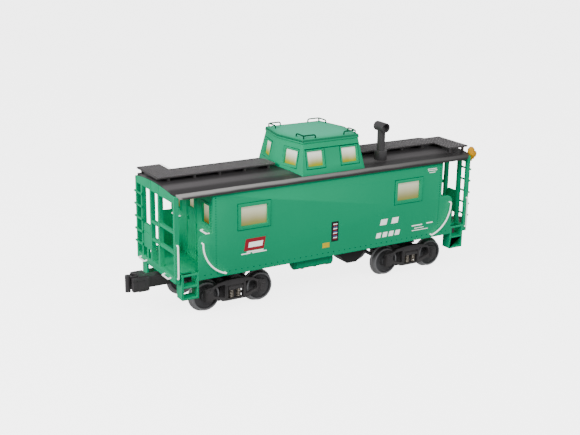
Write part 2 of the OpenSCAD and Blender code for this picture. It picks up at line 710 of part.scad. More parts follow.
body_shell();
underframe();
roof();
side_panes();
end_panes();
cupola_shell();
cupola_panes();
cupola_roof();
cupola_irons();
running_board(true);  // running_board_left
running_board(false);  // running_board_right
smoke_pipe();
platform(true);  // platform_left
platform(false);  // platform_right
end_frame(true);  // end_frame_left
end_frame(false);  // end_frame_right
ladder(true);  // ladder_left
ladder(false);  // ladder_right
brake_stand(true);  // brake_stand_left
brake_stand(false);  // brake_stand_right
steps(true);  // steps_left
steps(false);  // steps_right
side_irons();
end_irons(true);  // end_irons_left
end_irons(false);  // end_irons_right
marker_lamp();
air_tank();
valve_box();
kingpins();
truck_frame(true);  // truck_frame_left
truck_frame(false);  // truck_frame_right
truck_springs(true);  // truck_springs_left
truck_springs(false);  // truck_springs_right
coupler(true);  // coupler_left
coupler(false);  // coupler_right
knuckle(true);  // knuckle_left
knuckle(false);  // knuckle_right
wheelset(-truck_x - wheelbase / 2);  // wheelset_1
wheelset(-truck_x + wheelbase / 2);  // wheelset_2
wheelset(truck_x - wheelbase / 2);  // wheelset_3
wheelset(truck_x + wheelbase / 2);  // wheelset_4
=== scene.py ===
# %% [markdown]
# # A lit model caboose, dressed in Blender
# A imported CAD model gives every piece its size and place: here it gets its looks.
# The order is the frame, the camera and light, the paints, the shaping tools, and
# then the car from the roof down to the wheels. Each cell prints what it made.

# %%
import json
import math

import bmesh
import bpy
from mathutils import Matrix, Vector


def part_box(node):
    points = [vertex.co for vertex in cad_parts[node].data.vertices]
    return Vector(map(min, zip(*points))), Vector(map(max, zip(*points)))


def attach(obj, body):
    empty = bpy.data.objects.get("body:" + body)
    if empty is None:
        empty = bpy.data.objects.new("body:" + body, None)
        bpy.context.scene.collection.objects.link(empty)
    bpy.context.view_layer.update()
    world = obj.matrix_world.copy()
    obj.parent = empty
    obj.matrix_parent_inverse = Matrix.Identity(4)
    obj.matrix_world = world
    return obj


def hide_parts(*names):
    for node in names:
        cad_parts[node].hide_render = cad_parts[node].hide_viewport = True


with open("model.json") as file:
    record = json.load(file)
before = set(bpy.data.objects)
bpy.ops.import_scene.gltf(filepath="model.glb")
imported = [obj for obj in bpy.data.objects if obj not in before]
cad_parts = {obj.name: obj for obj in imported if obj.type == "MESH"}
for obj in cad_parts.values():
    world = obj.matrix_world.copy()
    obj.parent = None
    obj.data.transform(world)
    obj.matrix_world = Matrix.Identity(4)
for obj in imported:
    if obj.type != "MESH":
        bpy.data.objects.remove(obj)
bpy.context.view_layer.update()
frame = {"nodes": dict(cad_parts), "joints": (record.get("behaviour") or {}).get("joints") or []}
nodes = frame["nodes"]
MM = 0.001

# %% [markdown]
# ## Camera
# The camera sits at one end's corner and looks down the near side. Its direction is
# made from a turn round Z, a tilt below the horizon and a small roll, and those three
# become the columns of its matrix.

# %%
TURN, TILT, ROLL = (math.radians(a) for a in (-31.021, 17.101, 0.842))
EYE = Vector((-0.31617, -0.50249, 0.2225))
ahead = Vector((-math.sin(TURN) * math.cos(TILT), math.cos(TURN) * math.cos(TILT), -math.sin(TILT)))
level = Vector((math.cos(TURN), math.sin(TURN), 0))
upright = level.cross(ahead)
right = math.cos(ROLL) * level + math.sin(ROLL) * upright
above = -math.sin(ROLL) * level + math.cos(ROLL) * upright
scene = bpy.context.scene
camera = bpy.data.objects.new("camera", bpy.data.cameras.new("camera"))
camera.matrix_world = Matrix.Translation(EYE) @ Matrix((right, above, -ahead)).transposed().to_4x4()
camera.data.lens = 63.107
camera.data.sensor_width = 36
scene.collection.objects.link(camera)
scene.camera = camera
print("camera", [round(v, 3) for v in EYE])

# %% [markdown]
# ## Light
# A pale world fills in from everywhere. One long soft panel over the near side lights
# the wall and the roof, and a smaller one at the end lights the platform.

# %%
def panel(name, place, aim, size, power):
    """One soft area light at place, turned to face aim."""
    light = bpy.data.lights.new(name, "AREA")
    light.shape = "RECTANGLE"
    light.size, light.size_y = size
    light.energy = power
    lamp = bpy.data.objects.new(name, light)
    turn = (Vector(place) - Vector(aim)).to_track_quat("Z", "Y").to_matrix().to_4x4()
    lamp.matrix_world = Matrix.Translation(place) @ turn
    scene.collection.objects.link(lamp)


world = bpy.data.worlds.new("pale_world")
world.use_nodes = True
world.node_tree.nodes["Background"].inputs["Color"].default_value = (1, 1, 1, 1)
world.node_tree.nodes["Background"].inputs["Strength"].default_value = 0.42
scene.world = world
panel("over_side", (-0.1, -0.6, 0.62), (0, 0, 0.06), (1.3, 0.22), 4.5)
panel("over_end", (-0.8, -0.1, 0.45), (-0.1, 0, 0.05), (0.4, 0.4), 5.5)
print("world and", len(bpy.data.lights), "lights")

# %% [markdown]
# ## Values in a shader
# A material is a graph of nodes. Wrapping one socket in a small class lets shader
# arithmetic be written as sums, and one method reaches every other kind of node.

# %%
class Value:
    """One value in a material. Arithmetic on it adds Math nodes to the tree."""

    def __init__(self, tree, socket=None):
        self.tree, self.socket = tree, socket

    def node(self, kind, plugs, out=0, **settings):
        """Adds any shader node; plugs maps its inputs to values or constants."""
        made = self.tree.nodes.new("ShaderNode" + kind)
        for key, setting in settings.items():
            setattr(made, key, setting)
        for key, given in plugs.items():
            if isinstance(given, Value):
                self.tree.links.new(given.socket, made.inputs[key])
            else:
                made.inputs[key].default_value = given
        return Value(self.tree, made.outputs[out])

    def maths(self, operation, a, b):
        return self.node("Math", {0: a, 1: b}, operation=operation)

    def __add__(self, other):
        return self.maths("ADD", self, other)

    def __radd__(self, other):
        return self.maths("ADD", other, self)

    def __sub__(self, other):
        return self.maths("SUBTRACT", self, other)

    def __rsub__(self, other):
        return self.maths("SUBTRACT", other, self)

    def __mul__(self, other):
        return self.maths("MULTIPLY", self, other)

    def __rmul__(self, other):
        return self.maths("MULTIPLY", other, self)

    def between(self, low, high):
        """0 at low, 1 at high, smooth between."""
        plugs = {"Value": self, "From Min": low, "From Max": high}
        return self.node("MapRange", plugs, interpolation_type="SMOOTHSTEP")

    def blend(self, first, second):
        """Colour first where this is 0 and second where it is 1."""
        return self.node("Mix", {0: self, 6: first, 7: second}, out=2, data_type="RGBA")

    def noise(self, scale, detail=3.0):
        return self.node("TexNoise", {"Vector": self, "Scale": scale, "Detail": detail}, out=0)


def rgb(r, g, b):
    return (r, g, b, 1)


def shade(colour, factor):
    return tuple(min(1, c * factor) for c in colour[:3]) + (1,)


def material(name):
    """A new material, its Principled node, and the Object coordinates to paint by."""
    made = bpy.data.materials.new(name)
    made.use_nodes = True
    tree = made.node_tree
    surface = tree.nodes["Principled BSDF"]
    return made, surface, Value(tree).node("TexCoord", {}, out="Object")


def feed(surface, **values):
    """Sets inputs of the Principled node; Base_Color stands for Base Color."""
    for key, given in values.items():
        socket = surface.inputs[key.replace("_", " ")]
        if isinstance(given, Value):
            given.tree.links.new(given.socket, socket)
        else:
            socket.default_value = given


print("shader tools ready")

# %% [markdown]
# ## Paints and metals
# Every finish has the same three layers at its own scale: a slow drift of tone, a
# finer change of gloss, and a bump too small to see as shape. Dust lightens the castings
# near the rail. White paint and ink are given a glow, which is painted light, so that
# thin wires stay white.

# %%
GRAIN_DEPTH = 0.00004
DUST = (0.32, 0.3, 0.27, 1)


def finish(name, colour, rough, metal=0.0, drift=0.10, drift_scale=55, grain=0.25,
           grain_scale=2600, specular=0.4, coat=0.0, dust=0.0):
    made, surface, at = material(name)
    tone = at.noise(drift_scale, 4.0)
    base = tone.blend(shade(colour, 1 - drift), shade(colour, 1 + drift))
    if dust:
        height = at.node("SeparateXYZ", {"Vector": at}, out=2)
        low = (1 - height.between(0.0, 0.03)) * at.noise(240, 5.0) * dust
        base = low.blend(base, DUST)
    fine = at.noise(grain_scale, 2.0)
    gloss = rough + (at.noise(drift_scale * 6, 3.0) - 0.5) * 0.16
    bump = at.node("Bump", {"Strength": grain, "Distance": GRAIN_DEPTH, "Height": fine})
    feed(surface, Base_Color=base, Roughness=gloss, Metallic=metal, Normal=bump,
         Specular_IOR_Level=specular, Coat_Weight=coat, Coat_Roughness=0.2)
    return made


GREEN = rgb(0.0, 0.45, 0.2)
CHARCOAL = rgb(0.03, 0.028, 0.029)
green = finish("green_enamel", GREEN, 0.5, drift=0.04, specular=0.15, coat=0.02)
shadow_green = finish("green_shadow_line", shade(GREEN, 0.12), 0.6, drift=0.1, specular=0.1)
deep_green = finish("green_wire", shade(GREEN, 0.2), 0.45, drift=0.05, specular=0.2)
tread_grey = finish("charcoal_tread", shade(CHARCOAL, 2.2), 0.45, drift=0.3,
                    drift_scale=300, specular=0.7)
# The raised tread points are painted paler than the board.
tread_points = finish("pale_tread_points", shade(CHARCOAL, 7), 0.4, drift=0.45,
                      drift_scale=420, specular=0.7)
black = finish("black_enamel", rgb(0.016, 0.016, 0.017), 0.5, drift=0.2)
casting = finish("blackened_casting", rgb(0.05, 0.047, 0.05), 0.36, drift=0.35, drift_scale=160,
                 grain=0.5, grain_scale=1700, specular=0.45, dust=0.12)
pipe_grey = finish("pipe_grey", rgb(0.06, 0.057, 0.06), 0.35, drift=0.1, specular=0.6)
bright = finish("bright_wire", rgb(0.4, 0.36, 0.31), 0.35, metal=1.0, drift=0.2, drift_scale=500)
white = finish("white_enamel", rgb(0.86, 0.87, 0.85), 0.4, drift=0.03)
amber = finish("amber_plastic", rgb(0.7, 0.33, 0.0), 0.35, drift=0.3, drift_scale=400,
               specular=0.3, coat=0.1)
red_ink = finish("red_ink", rgb(0.42, 0.012, 0.03), 0.5, drift=0.05)
blue_ink = finish("blue_ink", rgb(0.12, 0.2, 0.5), 0.5, drift=0.05)
white_ink = finish("white_ink", rgb(0.88, 0.9, 0.87), 0.5, drift=0.03)
yellow_ink = finish("yellow_ink", rgb(0.9, 0.66, 0.02), 0.5, drift=0.05)
# The glow on white enamel and white ink is painted light.
PALE_GLOW, AMBER_GLOW = rgb(0.9, 0.9, 0.88), rgb(0.8, 0.36, 0)
for look, tint, glow in ((white, PALE_GLOW, 0.9), (white_ink, PALE_GLOW, 0.8), (amber, AMBER_GLOW, 0.12)):
    feed(look.node_tree.nodes["Principled BSDF"], Emission_Color=tint, Emission_Strength=glow)
print("paints:", len(bpy.data.materials))

# %% [markdown]
# Two sheets are painted with light. The main roof has a painted highlight in a streak
# along each eave and a painted highlight band between two lines on its slope, so its grey
# follows the distance from the middle line. The cupola's roof has painted shade round
# its rim and a painted highlight on top, and follows height.

# %%
def roof_painted_highlights():
    made, surface, at = material("charcoal_enamel_painted_highlights")
    x = at.node("SeparateXYZ", {"Vector": at}, out=0)
    y = at.node("SeparateXYZ", {"Vector": at}, out=1)
    away = at.node("Math", {0: y}, operation="ABSOLUTE") + (at.noise(30, 3.0) - 0.5) * 0.0012
    # eave is a painted highlight streak along each eave, fading along x; crown is a painted highlight band
    # on the slope.
    eave = away.between(0.0256, 0.0268) * (1 - away.between(0.0278, 0.0287)) * (0.6 - x * 5)
    crown = away.between(0.009, 0.014) * (1 - away.between(0.017, 0.0215))
    base = crown.blend(shade(CHARCOAL, 1.2), shade(CHARCOAL, 3.4))
    base = eave.blend(base, rgb(0.38, 0.37, 0.36))
    bump = at.node("Bump", {"Strength": 0.25, "Distance": GRAIN_DEPTH, "Height": at.noise(2600, 2.0)})
    feed(surface, Base_Color=base, Roughness=0.4 + at.noise(330, 3.0) * 0.15, Normal=bump,
         Specular_IOR_Level=0.4)
    return made


def cupola_top_painted_light(rim):
    made, surface, at = material("green_enamel_roof_painted_light")
    height = at.node("SeparateXYZ", {"Vector": at}, out=2)
    # A band of painted shade lies just below the rim, and a painted highlight pales the top from the rim up.
    above_line = height.between(rim - 0.0005, rim + 0.0001)
    below_line = 1 - height.between(rim - 0.0017, rim - 0.0011)
    base = (above_line + below_line).blend(shade(GREEN, 0.45), GREEN)
    base = height.between(rim - 0.0003, rim + 0.0005).blend(base, rgb(0.06, 0.7, 0.4))
    bump = at.node("Bump", {"Strength": 0.25, "Distance": GRAIN_DEPTH, "Height": at.noise(2600, 2.0)})
    feed(surface, Base_Color=base, Roughness=0.4 + at.noise(330, 3.0) * 0.15, Normal=bump,
         Specular_IOR_Level=0.3)
    return made


roof_grey = roof_painted_highlights()
# Both sheets carry painted highlights, and the cupola's roof painted shade as well.
print("rubbed sheets ready")

# %% [markdown]
# The wheels are dark, with a thin groove line near the rim and a tread that the rail
# has polished. Both follow the distance from the axle, so the paint reads X and Z
# about each axle's own centre. The distances are in metres.

# %%
def wheel_metal(name, axle):
    made, surface, at = material(name)
    x = at.node("SeparateXYZ", {"Vector": at}, out=0) - axle.x
    z = at.node("SeparateXYZ", {"Vector": at}, out=2) - axle.z
    radius = at.node("Math", {0: x * x + z * z, 1: 0.5}, operation="POWER")
    rim = radius.between(0.0071, 0.0076)
    polish = radius.between(0.00835, 0.0086)
    streaks = at.noise(700, 4.0)
    base = rim.blend(rgb(0.1, 0.1, 0.105), rgb(0.26, 0.26, 0.27))
    base = (polish * streaks).blend(base, rgb(0.4, 0.4, 0.4))
    bump = at.node("Bump", {"Strength": 0.3, "Distance": GRAIN_DEPTH, "Height": at.noise(2400, 2.0)})
    feed(surface, Base_Color=base, Roughness=0.36 + streaks * 0.16,
         Metallic=0.2 + polish * 0.6, Normal=bump)
    return made


print("wheel finish ready")

# %% [markdown]
# The windows are frosted inserts with a bulb behind. Their glow falls from white at
# the top of each pane to straw or olive at the foot, uneven because the bulb is.

# %%
def lit_pane(name, low, high, foot, head, strength):
    made, surface, at = material(name)
    height = at.node("SeparateXYZ", {"Vector": at}, out=2)
    patch = at.node("Mapping", {"Vector": at, "Scale": (90.0, 90.0, 20.0)}).noise(1.0, 2.0)
    glow = (height + (patch - 0.5) * 0.004).between(low, high)
    tint = glow.blend(foot, head)
    feed(surface, Base_Color=tint, Roughness=0.35 + patch * 0.2,
         Emission_Color=tint, Emission_Strength=strength)
    return made


def pane_span(node):
    low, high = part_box(node)
    return low.z + 0.001, high.z - 0.001


side_low, side_high = pane_span("side_panes")
end_low, end_high = pane_span("end_panes")
top_low, top_high = pane_span("cupola_panes")
side_glass = lit_pane("side_glass", side_low, side_high, rgb(0.3, 0.27, 0.07), rgb(0.82, 0.82, 0.6), 0.5)
end_glass = lit_pane("end_glass", end_low, end_high, rgb(0.16, 0.1, 0.0), rgb(0.85, 0.8, 0.55), 0.45)
top_glass = lit_pane("cupola_glass", top_low, top_high, rgb(0.3, 0.28, 0.0), rgb(0.95, 0.94, 0.84), 0.7)
print("lit panes:", side_glass.name, end_glass.name, top_glass.name)

# %% [markdown]
# ## Shaping tools
# A CAD node arrives as loose triangles. A copy is welded and its flat triangles are
# joined into whole faces, and then a bevel modifier rounds each real edge, because a
# knife-sharp edge never catches light. The new piece stands for its CAD node.

# %%
def welded(*names):
    """One bmesh of the named CAD nodes, welded, with flat faces made whole."""
    shape = bmesh.new()
    for name in names:
        shape.from_mesh(nodes[name].data)
    bmesh.ops.remove_doubles(shape, verts=shape.verts, dist=1e-6)
    bmesh.ops.dissolve_limit(shape, angle_limit=math.radians(0.4), verts=shape.verts, edges=shape.edges)
    return shape


def piece(name, shape, look, body, slot=None, stands_for=(), edge=0.0, crease=34, steps=2):
    """Turns a bmesh into a shown piece that rides on a body."""
    bmesh.ops.recalc_face_normals(shape, faces=shape.faces)
    mesh = bpy.data.meshes.new(name)
    shape.to_mesh(mesh)
    shape.free()
    mesh.materials.append(look)
    mesh.shade_smooth()
    made = bpy.data.objects.new(name, mesh)
    scene.collection.objects.link(made)
    if edge:
        bevel = made.modifiers.new("edges", "BEVEL")
        bevel.width = edge * MM
        bevel.segments = steps
        bevel.limit_method = "ANGLE"
        bevel.angle_limit = math.radians(crease)
        bevel.harden_normals = True
    else:
        mesh.set_sharp_from_angle(angle=math.radians(crease))
    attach(made, body)
    if stands_for:
        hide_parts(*stands_for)
    return made


def dressed(node, look, body, slot, edge=0.15, **more):
    """A bevelled copy that stands for one CAD node."""
    return piece("fine_" + node, welded(node), look, body, slot, (node,), edge, **more)


def block(shape, low, high, turn=None):
    """Adds a box between two corners given in millimetres."""
    low, high = Vector(low) * MM, Vector(high) * MM
    place = Matrix.Translation((low + high) / 2)
    if turn is not None:
        place = place @ turn
    bmesh.ops.create_cube(shape, size=1, matrix=place @ Matrix.Diagonal((*(high - low), 1)))


def rod(shape, start, end, r1, r2=None, sides=16):
    """Adds a round bar, or a cone, between two points given in millimetres."""
    start, end = Vector(start) * MM, Vector(end) * MM
    aim = (end - start).to_track_quat("Z", "Y").to_matrix().to_4x4()
    bmesh.ops.create_cone(shape, cap_ends=True, segments=sides, radius1=r1 * MM,
                          radius2=(r1 if r2 is None else r2) * MM, depth=(end - start).length,
                          matrix=Matrix.Translation((start + end) / 2) @ aim)


def rivet(shape, place, outward, radius=0.3):
    """Adds one low rivet head, standing on a face."""
    place, outward = Vector(place), Vector(outward)
    rod(shape, place - outward * 0.1, place + outward * radius * 0.55, radius, radius * 0.5, sides=8)


def ring(shape, width, height, border, depth, place):
    """Adds a flat rectangular frame, its inside width x height, at a matrix."""
    opening = width * height * MM * MM
    part = bmesh.new()
    full = Matrix.Diagonal(((width + 2 * border) * MM, (height + 2 * border) * MM, 1, 1))
    bmesh.ops.create_grid(part, x_segments=1, y_segments=1, size=0.5, matrix=full)
    bmesh.ops.inset_individual(part, faces=part.faces[:], thickness=border * MM)
    inner = min(part.faces, key=lambda f: f.calc_center_median().length + abs(f.calc_area() - opening))
    bmesh.ops.delete(part, geom=[inner], context="FACES_ONLY")
    bmesh.ops.solidify(part, geom=part.faces[:], thickness=-depth * MM)
    bmesh.ops.transform(part, matrix=place, verts=part.verts)
    add_part(shape, part)


def add_part(shape, part):
    """Adds one bmesh to another."""
    carrier = bpy.data.meshes.new("carrier")
    part.to_mesh(carrier)
    part.free()
    shape.from_mesh(carrier)
    bpy.data.meshes.remove(carrier)


def wire(name, runs, thickness, look, body, stands_for=(), bend=1.0):
    """Bent wires: each run is a list of corner points in millimetres, rounded by bend."""
    curve = bpy.data.curves.new(name, "CURVE")
    curve.dimensions = "3D"
    curve.bevel_depth = thickness / 2 * MM
    curve.bevel_resolution = 3
    curve.use_fill_caps = True
    for run in runs:
        corners = [Vector(p) for p in run]
        points = [corners[0]]
        for before, here, after in zip(corners, corners[1:], corners[2:]):
            a = here + (before - here).normalized() * min(bend, (before - here).length / 2)
            b = here + (after - here).normalized() * min(bend, (after - here).length / 2)
            for t in (0, 0.25, 0.5, 0.75, 1):
                points.append(a.lerp(here, t).lerp(here.lerp(b, t), t))
        points.append(corners[-1])
        spline = curve.splines.new("POLY")
        spline.points.add(len(points) - 1)
        for target, p in zip(spline.points, points):
            target.co = (*(p * MM), 1)
        spline.use_smooth = True
    curve.materials.append(look)
    made = bpy.data.objects.new(name, curve)
    scene.collection.objects.link(made)
    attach(made, body)
    if stands_for:
        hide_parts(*stands_for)
    return made


def span(node):
    """A CAD node's box in millimetres."""
    low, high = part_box(node)
    return low / MM, high / MM


print("shaping tools ready")

# %% [markdown]
# ## Body shell, roof and end frames
# These keep their CAD shapes exactly. Only their edges are rounded, a little more on
# the cast body than on the thin ladder.

# %%
CAR = "car_body"
dressed("body_shell", green, CAR, "body_green", 0.14)
dressed("cupola_shell", green, CAR, "body_green", 0.45, steps=3)
dressed("roof", roof_grey, CAR, "roof_grey", 0.25, crease=40)
dressed("underframe", black, CAR, "black_paint", 0.2)
dressed("valve_box", black, CAR, "black_paint", 0.5, steps=3)
dressed("air_tank", green, CAR, "body_green", 0.4, steps=3)
dressed("smoke_pipe", pipe_grey, CAR, "black_paint", 0.22)
dressed("marker_lamp", amber, CAR, "amber_lens", 0.3, steps=3)
for end in ("left", "right"):
    dressed("platform_" + end, green, CAR, "body_green", 0.15)
    dressed("end_frame_" + end, green, CAR, "body_green", 0.18)
    dressed("ladder_" + end, green, CAR, "body_green", 0.14)
    dressed("brake_stand_" + end, green, CAR, "body_green", 0.18)
    dressed("steps_" + end, green, CAR, "body_green", 0.15)
kept = {"side_panes": side_glass, "end_panes": end_glass, "cupola_panes": top_glass, "kingpins": bright}
for name, look in kept.items():
    nodes[name].data.materials.clear()
    nodes[name].data.materials.append(look)

# %% [markdown]
# ## The cupola's roof
# The CAD has a flat slab here. Its upper step is cut away, the hole is closed, and two
# insets that each rise a little crown the sheet. Its underside is drawn down into a
# skirt, before a wide bevel rounds the rim.

# %%
RIM_RAISE = 0.35     # how far the window rims stand proud of the sides
SKIRT_DROP = 1.6     # the sheet's turned-down edge
shell_low, shell_high = span("body_shell")
face_y, end_x = shell_high.y - RIM_RAISE, span("platform_right")[0].x
sill, eave = shell_low.z, span("roof")[0].z
rim_z = span("cupola_irons")[0].z
crown = welded("cupola_roof")
bmesh.ops.bisect_plane(crown, geom=crown.verts[:] + crown.edges[:] + crown.faces[:], dist=1e-7,
                       plane_co=(0, 0, (rim_z - 0.12) * MM), plane_no=(0, 0, 1), clear_outer=True)
top = bmesh.ops.contextual_create(crown, geom=[e for e in crown.edges if e.is_boundary])["faces"]
for inset, rise in ((3.5, 0.35), (5, 0.25)):
    bmesh.ops.inset_region(crown, faces=top, thickness=inset * MM, depth=0, use_even_offset=True)
    bmesh.ops.translate(crown, verts=list({v for f in top for v in f.verts}), vec=(0, 0, rise * MM))
under = min(crown.faces, key=lambda f: f.calc_center_median().z)
skirt = bmesh.ops.extrude_face_region(crown, geom=[under])["geom"]
bmesh.ops.delete(crown, geom=[under], context="FACES")
hem = [v for v in skirt if isinstance(v, bmesh.types.BMVert)]
bmesh.ops.translate(crown, verts=hem, vec=(0, 0, -SKIRT_DROP * MM))
bmesh.ops.scale(crown, verts=hem, vec=(1.012, 1.012, 1))
piece("cupola_crown", crown, cupola_top_painted_light(rim_z * MM), CAR, "body_green", ("cupola_roof",), 1.5,
      crease=24, steps=5)
print("cupola crown over z", round(rim_z, 1), "mm")

# %% [markdown]
# ## Cupola window frames
# Each cupola wall leans in, so a frame needs that wall's own plane: a centre on the
# wall, a direction along it, and the outward normal, packed as a matrix.

# %%
# The cupola at the eave, in millimetres: half its length, half its width, how far its
# sides lean in and its ends draw in on the way up, and how far each end comes to a point.
HALF_L, HALF_W, LEAN, DRAW, POINT = 21.8, face_y - 1, 5.5, 3, 5.8
RISE = span("cupola_shell")[1].z - eave
PANE_LAP = 1         # a pane reaches this far behind the wall round its window
pane_foot, pane_head = (corner_.z for corner_ in span("cupola_panes"))
WINDOW_Z, WINDOW_W, WINDOW_H = pane_foot + PANE_LAP, 10.2, pane_head - pane_foot - 2 * PANE_LAP
FRAME_W, SHADE_LINE_W = 1.1, 0.3
WINDOW_X = HALF_L * 0.536


def corner(k, y_sign=-1):
    return Vector((HALF_L - k * DRAW, y_sign * (HALF_W - k * LEAN), eave + k * RISE))


def point(k):
    return Vector((HALF_L - k * DRAW + POINT * (1 - 0.27 * k), 0, eave + k * RISE))


def on_wall(centre, along, outward):
    """A matrix whose X runs along a wall, Y up its slope and Z out of it."""
    outward = outward.normalized()
    along = (along - outward * along.dot(outward)).normalized()
    up = outward.cross(along)
    return Matrix.Translation(centre * MM) @ Matrix((along, up, outward)).transposed().to_4x4()


def framed(place, height):
    """One window frame and the thin line of painted shade round it."""
    ring(frames, WINDOW_W, height, FRAME_W, 0.3, place)
    ring(shade_lines, WINDOW_W + 2 * FRAME_W, height + 2 * FRAME_W, SHADE_LINE_W, 0.08, place)


# The second bmesh holds painted shade: thin dark lines round each frame and under each drip rail.
frames, shade_lines = bmesh.new(), bmesh.new()
middle = (WINDOW_Z + WINDOW_H / 2 - eave) / RISE
slope = math.hypot(LEAN, RISE) / RISE
for x in (-1, 1):
    out = Vector((0, -RISE, LEAN))
    centre = Vector((x * WINDOW_X, corner(middle).y, eave + middle * RISE))
    for turn in (0, math.pi):
        place = Matrix.Rotation(turn, 4, "Z") @ on_wall(centre, Vector((1, 0, 0)), out)
        framed(place, WINDOW_H * slope)
for y in (-1, 1):
    start, tip = corner(middle, y), point(middle)
    along = (tip - start) * -y
    out = along.cross(corner(1, y) - corner(0, y))
    out = out if out.x > 0 else -out
    flat_out = Vector((out.x, out.y, 0)).normalized()
    begin = Vector((HALF_L, y * HALF_W / 2, start.z))
    normal = Vector((-(tip - start).y, (tip - start).x, 0)).normalized()
    reach = (start - begin).dot(normal) / flat_out.dot(normal)
    centre = begin + flat_out * reach
    for turn in (0, math.pi):
        place = Matrix.Rotation(turn, 4, "Z") @ on_wall(centre, along, out)
        framed(place, WINDOW_H * 1.02)
DRIP_L = HALF_L - 3.2
window_top = WINDOW_Z + WINDOW_H
drip_y = -corner((window_top + 1.9 - eave) / RISE).y
# Below each drip rail runs a thin strip of painted shade.
for side in (-1, 1):
    y = side * drip_y
    block(shade_lines, (-DRIP_L, y - 0.3, window_top + 1.3), (DRIP_L, y + 0.3, window_top + 1.6))
    block(frames, (-DRIP_L, y - 0.35, window_top + 1.6), (DRIP_L, y + 0.35, window_top + 2.1))
piece("cupola_frames", frames, green, CAR, "body_green", edge=0.12)
piece("cupola_shade_lines", shade_lines, shadow_green, CAR, "body_green")
print("cupola windows framed")

# %% [markdown]
# ## Rivets
# One row runs along each sill, 3.85 mm apart, and a closer column stands just inside
# each end of the sides and each edge of the end walls.

# %%
ROW_START, ROW_STEP, COLUMN_STEP = -84.7, 3.85, 1.5
column_x = end_x - 1.9
rivets = bmesh.new()
for side in (-1, 1):
    for i in range(45):
        rivet(rivets, (ROW_START + ROW_STEP * i, side * face_y, sill + 2.4), (0, side, 0), 0.33)
    for end in (-1, 1):
        for i in range(28):
            z = sill + 5.2 + COLUMN_STEP * i
            rivet(rivets, (end * column_x, side * face_y, z), (0, side, 0), 0.3)
        for i in range(26):
            z = sill + 7 + COLUMN_STEP * i
            rivet(rivets, (end * end_x, side * (face_y - 2.1), z), (end, 0, 0), 0.25)
# The rivets are in the shadow green: painted shade for the small shadow round each head.
piece("rivets", rivets, shadow_green, CAR, "body_green")
print("rivets done")

# %% [markdown]
# A thin line of painted shade runs where each raised window rim meets its wall.

# %%
SIDE_WINDOW_W, SIDE_RIM = 16.9, 1.9
low, high = span("side_panes")
window_x = high.x - PANE_LAP - SIDE_WINDOW_W / 2
rim_w, rim_h = SIDE_WINDOW_W + 2 * SIDE_RIM, high.z - low.z - 2 * PANE_LAP + 2 * SIDE_RIM
upright_face = Matrix.Rotation(math.pi / 2, 4, "X")
lines = bmesh.new()
for turn in (0, math.pi):
    for x in (-window_x, window_x):
        centre = Matrix.Translation(Vector((x, -face_y - 0.02, (low.z + high.z) / 2)) * MM)
        ring(lines, rim_w, rim_h, 0.28, 0.06, Matrix.Rotation(turn, 4, "Z") @ centre @ upright_face)
piece("rim_shade_lines", lines, shadow_green, CAR, "body_green")
print("rim outlines done")

# %% [markdown]
# ## Plates and stripes on the sides
# Every marking is a thin slanted plate with nothing written on it. Both sides carry
# the same set, so the far side is the near one turned half round.

# %%
def plates(name, look, shapes, rise=0.05):
    """Thin plates on both sides: (x0, x1, z0, z1, slant) in millimetres, z from the sill."""
    shape = bmesh.new()
    for x0, x1, z0, z1, slant in shapes:
        part = bmesh.new()
        block(part, (x0, -face_y - rise, sill + z0), (x1, -face_y + 0.1, sill + z1))
        for v in part.verts:
            v.co.x += slant * (v.co.z - (sill + z0) * MM)
        add_part(shape, part)
    other = shape.copy()
    bmesh.ops.rotate(other, verts=other.verts, cent=(0, 0, 0), matrix=Matrix.Rotation(math.pi, 3, "Z"))
    add_part(shape, other)
    return piece(name, shape, look, CAR)


plates("emblem_ground", red_ink, [(-60.4, -47.6, 12.4, 19.4, 0.19)])
plates("emblem_bar", white_ink, [(-57.6, -48.6, 14.2, 17.2, 0.19), (-58.6, -47.9, 11.3, 12.1, 0.19)], 0.09)
plates("caption_bars", white_ink, [(-62, -56.3, 10.5, 11.1, 0), (-55, -45.7, 10.5, 11.1, 0)])
plates("yellow_plate", yellow_ink, [(-8, -3.2, 5.8, 8.8, 0)], 0.08)
plates("label_ground", black, [(-2, 2.9, 8.8, 21, 0)], 0.08)
label = [(-0.9, 1.8, 9.9 + 0.92 * i, 10.45 + 0.92 * i, 0.6) for i in range(11)]
plates("label_red", red_ink, label[0::3], 0.12)
plates("label_white", white_ink, label[1::3], 0.12)
plates("label_blue", blue_ink, label[2::3], 0.12)
plates("number_bars", white_ink,
       [(x, x + 4.8, 13.6, 17.2, 0.25) for x in (33, 41.4)]
       + [(30.3 + 4.7 * i, 33.6 + 4.7 * i, 5.8, 8.9, 0.25) for i in range(4)]
       + [(57.3, 65.4, 9.3, 10, 0), (68.8, 73.6, 9.6, 10.3, 0)]
       + [(59.4, 66.6, 7.7, 8.1, 0), (57.6, 70, 6.3, 6.7, 0)]
       + [(67.6, 74.6, 44.4, 44.8, 0), (67.9, 75, 43.4, 43.8, 0), (69, 73.6, 42.1, 42.5, 0)])
print("plates done")

# %% [markdown]
# ## Running boards
# Each board keeps its CAD sheet and gets a raised diamond tread: small four-sided
# points, squeezed long and turned one way and then the other.

